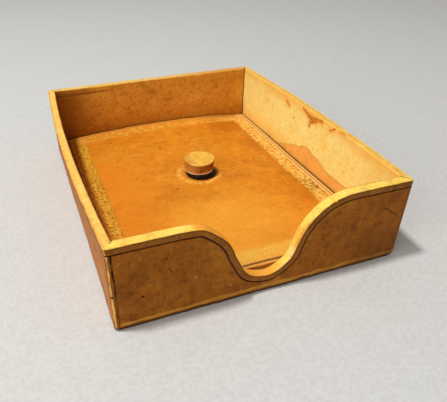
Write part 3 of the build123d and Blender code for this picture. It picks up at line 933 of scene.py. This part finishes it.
def dress_frame():
    """Give every CAD node its material."""
    wood = wood_material("carcass_wood", *CARCASS_WOOD)
    steel = steel_material()
    looks = {f"{wall}_lining": lining_material(wall) for wall in LINING}
    looks.update({f"{wall}_outer_leather": outer_material(wall) for wall in LINING})
    boards = [f"{name}_board" for name in ("base", *LINING)]
    looks.update(dict.fromkeys([*boards, "press_board_core", "knob_core"], wood))
    looks.update(dict.fromkeys(["corner_pins", "base_pins", "knob_screw"], steel))
    looks["floor_lining"] = plain_leather("floor_leather", *FLOOR_LEATHER, 81)
    looks["underside_covering"] = cloth_material()
    looks["press_board_top_leather"] = press_material()
    looks["press_board_under_leather"] = plain_leather(
        "press_under_leather", *UNDER_LEATHER, 84, roughness=0.8
    )
    looks["knob_neck"] = wood_material("knob_neck_wood", *SHADED_NECK_WOOD)
    looks["knob_side_leather"] = knob_side_material()
    looks["knob_top_leather"] = knob_top_material()
    for name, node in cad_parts.items():
        node.data.materials.clear()
        node.data.materials.append(looks[name])


# Pieces that are drawn as worn copies of their CAD nodes, by body
WORN_PIECES = {
    "tray": (
        "base_board",
        *(f"{wall}_{part}" for part in ("board", "outer_leather", "lining") for wall in LINING),
        "underside_covering", "floor_lining",
    ),
    "press_board": (
        "press_board_top_leather", "press_board_under_leather", "press_board_core",
        "knob_core", "knob_neck", "knob_side_leather", "knob_top_leather",
    ),
}

# Grid that the visible and the hidden copies are cut on, shifted so that no cut falls on a flat
# face, how near points are merged, and the sharpest turn that is shaded smooth, in degrees
FINE_GRID = 3.0
COARSE_GRID = 6.0
GRID_SHIFT = 1.37
MERGE_DISTANCE = 0.001
CUT_TOLERANCE = 0.0005
SHARP_ANGLE = 38

# Unevenness of the leathers: the size of its swells, and how far they move the surface. It is
# less about the front right corner, and fades out at the foot, which stays flat on the floor
SLOW_SIZE, SLOW_SHIFT = 40, 0.42
QUICK_SIZE, QUICK_SHIFT = 8, 0.24
CORNER_CALM, CORNER_SPREAD = 0.75, 120
FOOT_HEIGHT = 3.0

# The side leathers' laps ripple along the front corners, the right one only a little: the laps'
# width, the ripples' size and shift, the right lap's share, and how far past lap and front they go
LAP_WIDTH = 3
RIPPLE_SIZE = 5
RIPPLE_SHIFT = (0.9, 0.15, 0)
RIGHT_RIPPLE = 0.15
LAP_SPREAD, FRONT_SPREAD = 10, 8

# Blunted corners: signs of x and y, place up the wall from 0 to 1, and how deep each is worn.
# Wear starts and is full at these distances past that depth, and takes a share of what is past
BLUNT_CORNERS = (
    (1, -1, 0, 3.6), (-1, -1, 0, 2.2), (-1, 1, 0, 1.8), (1, 1, 0, 1.8), (-1, 1, 1, 2.4),
)
BLUNT_START, BLUNT_FULL, BLUNT_SHARE = -2, 4, 0.8

# Notch in the front rim: its place, the shift there and how far about the place it reaches
RIM_NOTCH = (46.2, -137.5, 64.3)
NOTCH_SHIFT = (-0.4, 0.5, -0.7)
NOTCH_REACH = 1.6

# Seed of the leathers' unevenness, which Blender would otherwise take from the clock
WEAR_SEED = 1


def smooth_step(value, start, end):
    """0 before start, 1 past end, smooth between."""
    share = min(max((value - start) / (end - start), 0.0), 1.0)
    return share * share * (3 - 2 * share)


def wear(place):
    """How far use has moved a point of the tray, all in millimetres."""
    slow = noise.noise_vector(place / SLOW_SIZE) * SLOW_SHIFT
    quick = noise.noise_vector(place / QUICK_SIZE + Vector((31, 7, 13))) * QUICK_SHIFT
    from_corner = (place.x - HALF_WIDTH) ** 2 + (place.y + HALF_DEPTH) ** 2
    shift = (slow + quick) * (1 - CORNER_CALM * exp(-from_corner / CORNER_SPREAD))

    from_lap = HALF_WIDTH - LAP_WIDTH - abs(place.x)
    by_front = exp(-((place.y + HALF_DEPTH) ** 2) / FRONT_SPREAD)
    at_lap = exp(-(from_lap**2) / LAP_SPREAD) * by_front
    ripple = noise.noise(Vector((place.z / RIPPLE_SIZE, 3.3 + place.x / 60, 0.5)))
    if place.x > 0:
        ripple *= RIGHT_RIPPLE
    shift += Vector([ripple * part for part in RIPPLE_SHIFT]) * at_lap

    from_notch = (place - Vector(RIM_NOTCH)).length
    shift += Vector(NOTCH_SHIFT) * exp(-((from_notch / NOTCH_REACH) ** 2))
    if place.y < END_WALL - HALF_DEPTH + 0.2:
        for (x, z), (across, up), reach in DIP_STRAYS:
            distance = Vector((place.x - x, place.z - z)).length / reach
            shift += Vector((across, 0, up)) * exp(-(distance**2))

    shift.z *= smooth_step(place.z, 0.0, FOOT_HEIGHT)
    for x_sign, y_sign, level, depth in BLUNT_CORNERS:
        outward = Vector((x_sign, y_sign, level * 1.6 - 1)).normalized()
        corner = Vector((x_sign * HALF_WIDTH, y_sign * HALF_DEPTH, level * RIM))
        past = outward.dot(place - corner) + depth
        if past > BLUNT_START:
            shift -= outward * smooth_step(past, BLUNT_START, BLUNT_FULL) * past * BLUNT_SHARE
    return shift


def worn_copy(name, body, grid):
    """Copy of a CAD node, cut into a fine grid and worn, that stands in for the node."""
    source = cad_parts[name]
    mesh = bpy.data.meshes.new(f"{name}_worn")
    faces = [tuple(polygon.vertices) for polygon in source.data.polygons]
    mesh.from_pydata([vertex.co.copy() for vertex in source.data.vertices], [], faces)
    work = bmesh.new()
    work.from_mesh(mesh)
    bmesh.ops.remove_doubles(work, verts=work.verts, dist=MERGE_DISTANCE * MM)
    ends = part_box(name)
    for axis in range(3):
        normal = Vector([float(i == axis) for i in range(3)])
        below, last = (int((end[axis] / MM - GRID_SHIFT) // grid) for end in ends)
        for step in range(below + 1, last + 1):
            place = normal * ((step * grid + GRID_SHIFT) * MM)
            everything = work.verts[:] + work.edges[:] + work.faces[:]
            bmesh.ops.bisect_plane(
                work, geom=everything, dist=CUT_TOLERANCE * MM, plane_co=place, plane_no=normal
            )
    for vertex in work.verts:
        vertex.co += wear(vertex.co / MM) * MM
    for polygon in work.faces:
        polygon.smooth = True
    work.to_mesh(mesh)
    work.free()
    mesh.set_sharp_from_angle(angle=radians(SHARP_ANGLE))
    mesh.materials.append(source.data.materials[0])
    piece = bpy.data.objects.new(f"{name}_worn", mesh)
    bpy.context.scene.collection.objects.link(piece)
    piece.modifiers.new("weighted normals", "WEIGHTED_NORMAL").keep_sharp = True
    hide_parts(name)
    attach(piece, body)


def add_worn_pieces():
    """Draw the leathers, and the boards under them, as worn copies."""
    noise.seed_set(WEAR_SEED)
    for body, names in WORN_PIECES.items():
        for name in names:
            hidden = name.endswith(("board", "core", "under_leather"))
            worn_copy(name, body, COARSE_GRID if hidden else FINE_GRID)


# Soft boxes: place, width and power, in metres and watts, and the point that they aim at
SOFTBOXES = {
    "softbox_above": ((-0.65, 0.04, 2.0), 0.2, 27.0),
    "softbox_left": ((-1.2, -0.6, 0.7), 0.9, 6.8),
}
AIM = (0, 0, 0.03)
WORLD_COLOUR = (0.9, 0.88, 0.86, 1)
WORLD_STRENGTH = 0.38
FLOOR_SIZE = 8.0


def add_camera():
    """Camera at the photograph's viewpoint, with its lens and off-centre framing."""
    azimuth, elevation, roll = map(radians, (CAMERA_AZIMUTH, CAMERA_ELEVATION, CAMERA_ROLL))
    level = cos(elevation)
    back = Vector((sin(azimuth) * level, -cos(azimuth) * level, sin(elevation)))
    level_right = (-back).cross(Vector((0, 0, 1))).normalized()
    level_up = level_right.cross(-back)
    right = cos(roll) * level_right + sin(roll) * level_up
    up = cos(roll) * level_up - sin(roll) * level_right
    data = bpy.data.cameras.new("camera")
    data.sensor_width = 36.0
    data.lens = FOCAL_PIXELS * data.sensor_width / IMAGE_SIZE[0]
    data.shift_x = (IMAGE_SIZE[0] / 2 - PRINCIPAL_POINT[0]) / IMAGE_SIZE[0]
    data.shift_y = (PRINCIPAL_POINT[1] - IMAGE_SIZE[1] / 2) / IMAGE_SIZE[0]
    data.clip_start = 0.01
    camera = bpy.data.objects.new("camera", data)
    turn = Matrix((right, up, back)).transposed().to_4x4()
    place = (Vector(CAMERA_TARGET) + back * CAMERA_DISTANCE) * MM
    camera.matrix_world = Matrix.Translation(place) @ turn
    bpy.context.scene.collection.objects.link(camera)
    bpy.context.scene.camera = camera


def add_area_light(name, place, size, power):
    """Square soft box, aimed at the tray."""
    data = bpy.data.lights.new(name, "AREA")
    data.shape = "SQUARE"
    data.size = size
    data.energy = power
    lamp = bpy.data.objects.new(name, data)
    lamp.location = place
    toward = Vector(AIM) - lamp.location
    lamp.rotation_euler = toward.to_track_quat("-Z", "Y").to_euler()
    bpy.context.scene.collection.objects.link(lamp)


def add_floor():
    """Plain pale floor."""
    bpy.ops.mesh.primitive_plane_add(size=FLOOR_SIZE, location=(0, 0, 0))
    floor = bpy.context.object
    floor.name = "floor"
    g = Graph("floor_paper")
    fibre = g.noise(2.5, seed=1)
    tint = g.mix(*FLOOR_PAPER, g.rise(fibre, 0.3, 0.7))
    floor.data.materials.append(g.finish(tint, fibre * 0.02, roughness=0.9, specular=0.1))


def add_world():
    """Soft even light from all round, and a pale background for the camera and for gloss."""
    world = bpy.data.worlds.new("studio")
    bpy.context.scene.world = world
    world.use_nodes = True
    background = world.node_tree.nodes["Background"]
    background.inputs["Color"].default_value = WORLD_COLOUR
    background.inputs["Strength"].default_value = WORLD_STRENGTH


add_camera()
add_world()
for box_name, settings in SOFTBOXES.items():
    add_area_light(box_name, *settings)
add_floor()
dress_frame()
add_worn_pieces()
bpy.context.scene.view_settings.view_transform = "Standard"
